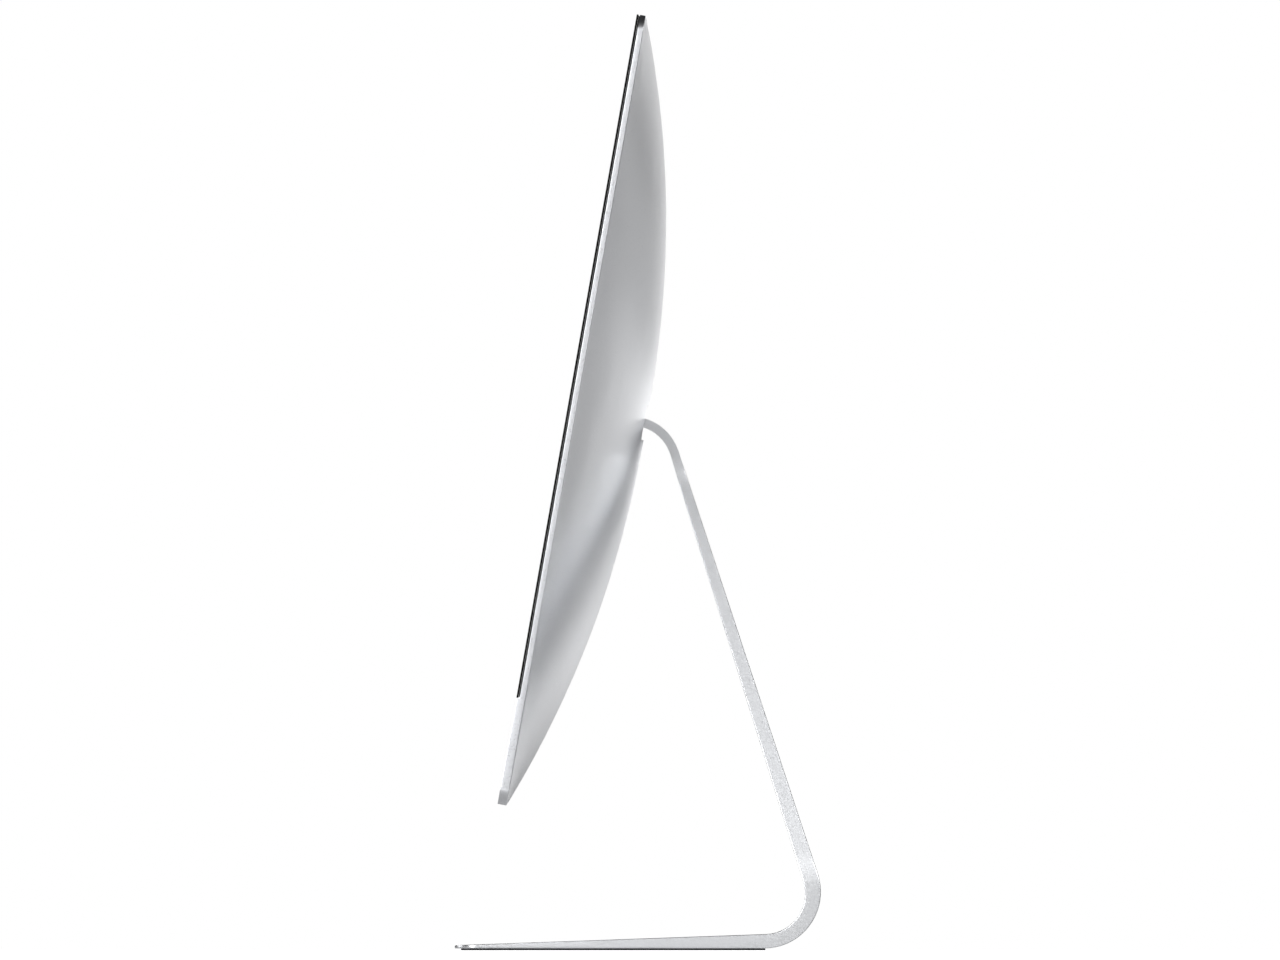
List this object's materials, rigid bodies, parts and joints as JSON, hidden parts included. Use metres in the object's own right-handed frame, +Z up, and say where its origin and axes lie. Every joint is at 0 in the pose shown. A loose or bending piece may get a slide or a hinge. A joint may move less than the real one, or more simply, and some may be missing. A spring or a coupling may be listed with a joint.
{
  "type": "all in one pc",
  "caption": "Slim all-in-one desktop computer: glass-fronted display in a thin-edged domed aluminium shell, tilting on a bent aluminium plate stand with a cable hole.",
  "frame": {"origin": "on the table, at the middle of the stand's width and depth", "axes": "+Z up, the screen faces -Y, +X to the right of somebody looking at the screen"},
  "size_m": [0.65, 0.2039, 0.5213],
  "materials": {
    "anodised_aluminium": "fine bead-blasted, anodised silver",
    "stand_aluminium": "fine bead-blasted, anodised silver",
    "cover_glass": "polished, dark when off",
    "border_print": "black ink behind glass",
    "seal_foam": "matt black foam tape",
    "foot_rubber": "matt dark grey",
    "display_glass": "dark polarised face",
    "lens_glass": "polished lens",
    "sheet_metal": "mill finish",
    "steel": "plain steel",
    "port_steel": "plated port shells",
    "copper": "bare copper",
    "circuit_board": "black solder mask",
    "black_plastic": "moulded black"
  },
  "bodies": {
    "stand": {"stand": "stand_aluminium", "foot_pad": "foot_rubber", "hinge_shaft": "steel", "hinge_leaf": "steel", "leaf_clamp_screws": "steel", "friction_washers": "steel", "shaft_nuts": "steel", "counterbalance_springs": "steel"},
    "housing": {"antennas": "black_plastic", "audio_jack": "black_plastic", "backlight_tray": "sheet_metal", "black_border_print": "border_print", "board_screws": "steel", "bracket_screws": "steel", "camera_lens": "lens_glass", "camera_module": "black_plastic", "card_slot": "port_steel", "coin_cell": "port_steel", "display_connector": "black_plastic", "drive_rails": "black_plastic", "fan_housing": "black_plastic", "fast_ports": "port_steel", "front_glass": "cover_glass", "glass_adhesive_frame": "seal_foam", "hard_drive": "sheet_metal", "heat_pipes": "copper", "heat_sink": "sheet_metal", "heat_spreader": "sheet_metal", "hinge_bracket": "steel", "inlet_pins": "port_steel", "lcd_panel": "display_glass", "light_sensor": "lens_glass", "lock_plate": "steel", "logic_board": "circuit_board", "mains_filter": "black_plastic", "mains_lead": "black_plastic", "memory_bay_tray": "steel", "memory_modules": "circuit_board", "memory_sockets": "black_plastic", "microphone": "black_plastic", "network_port": "port_steel", "port_contact_tongues": "black_plastic", "power_inlet": "black_plastic", "power_supply_board": "circuit_board", "power_switch": "black_plastic", "processor": "black_plastic", "rear_housing": "anodised_aluminium", "speaker_left": "black_plastic", "speaker_right": "black_plastic", "storage_card": "circuit_board", "supply_capacitors": "black_plastic", "supply_transformer": "black_plastic", "usb_ports": "port_steel", "wireless_card": "circuit_board"},
    "power_button": {"power_button": "anodised_aluminium"},
    "memory_door": {"memory_door": "anodised_aluminium"},
    "door_release_button": {"door_release_button": "black_plastic"},
    "memory_lever_left": {"memory_lever_left": "black_plastic"},
    "memory_lever_right": {"memory_lever_right": "black_plastic"},
    "fan_impeller": {"fan_impeller": "black_plastic"}
  },
  "joints": [
    {"name": "screen_tilt", "type": "hinge", "parent": "stand", "child": "housing", "pos_m": [0, -0.01525, 0.29724], "axis": [-1, 0, 0], "range_deg": [-15, 15]},
    {"name": "power_button_press", "type": "slide", "parent": "housing", "child": "power_button", "axis": [0, -0.9848, 0.1736], "range_m": [0, 0.0007], "stiffness_N_per_m": 1500},
    {"name": "memory_door_swing", "type": "hinge", "parent": "housing", "child": "memory_door", "pos_m": [0, 0.00067, 0.27006], "axis": [1, 0, 0], "range_deg": [0, 20]},
    {"name": "door_release_press", "type": "slide", "parent": "housing", "child": "door_release_button", "axis": [0, -0.9848, 0.1736], "range_m": [0, 0.0015], "stiffness_N_per_m": 800},
    {"name": "lever_left_swing", "type": "hinge", "parent": "housing", "child": "memory_lever_left", "pos_m": [-0.0716, -0.02207, 0.22401], "axis": [0, 0.9848, -0.1736], "range_deg": [0, 25]},
    {"name": "lever_right_swing", "type": "hinge", "parent": "housing", "child": "memory_lever_right", "pos_m": [0.0716, -0.02207, 0.22401], "axis": [0, -0.9848, 0.1736], "range_deg": [0, 25]},
    {"name": "fan_spin", "type": "hinge", "parent": "housing", "child": "fan_impeller", "pos_m": [-0.138, -0.01388, 0.3891], "axis": [0, 0.9848, -0.1736], "continuous": true}
  ]
}
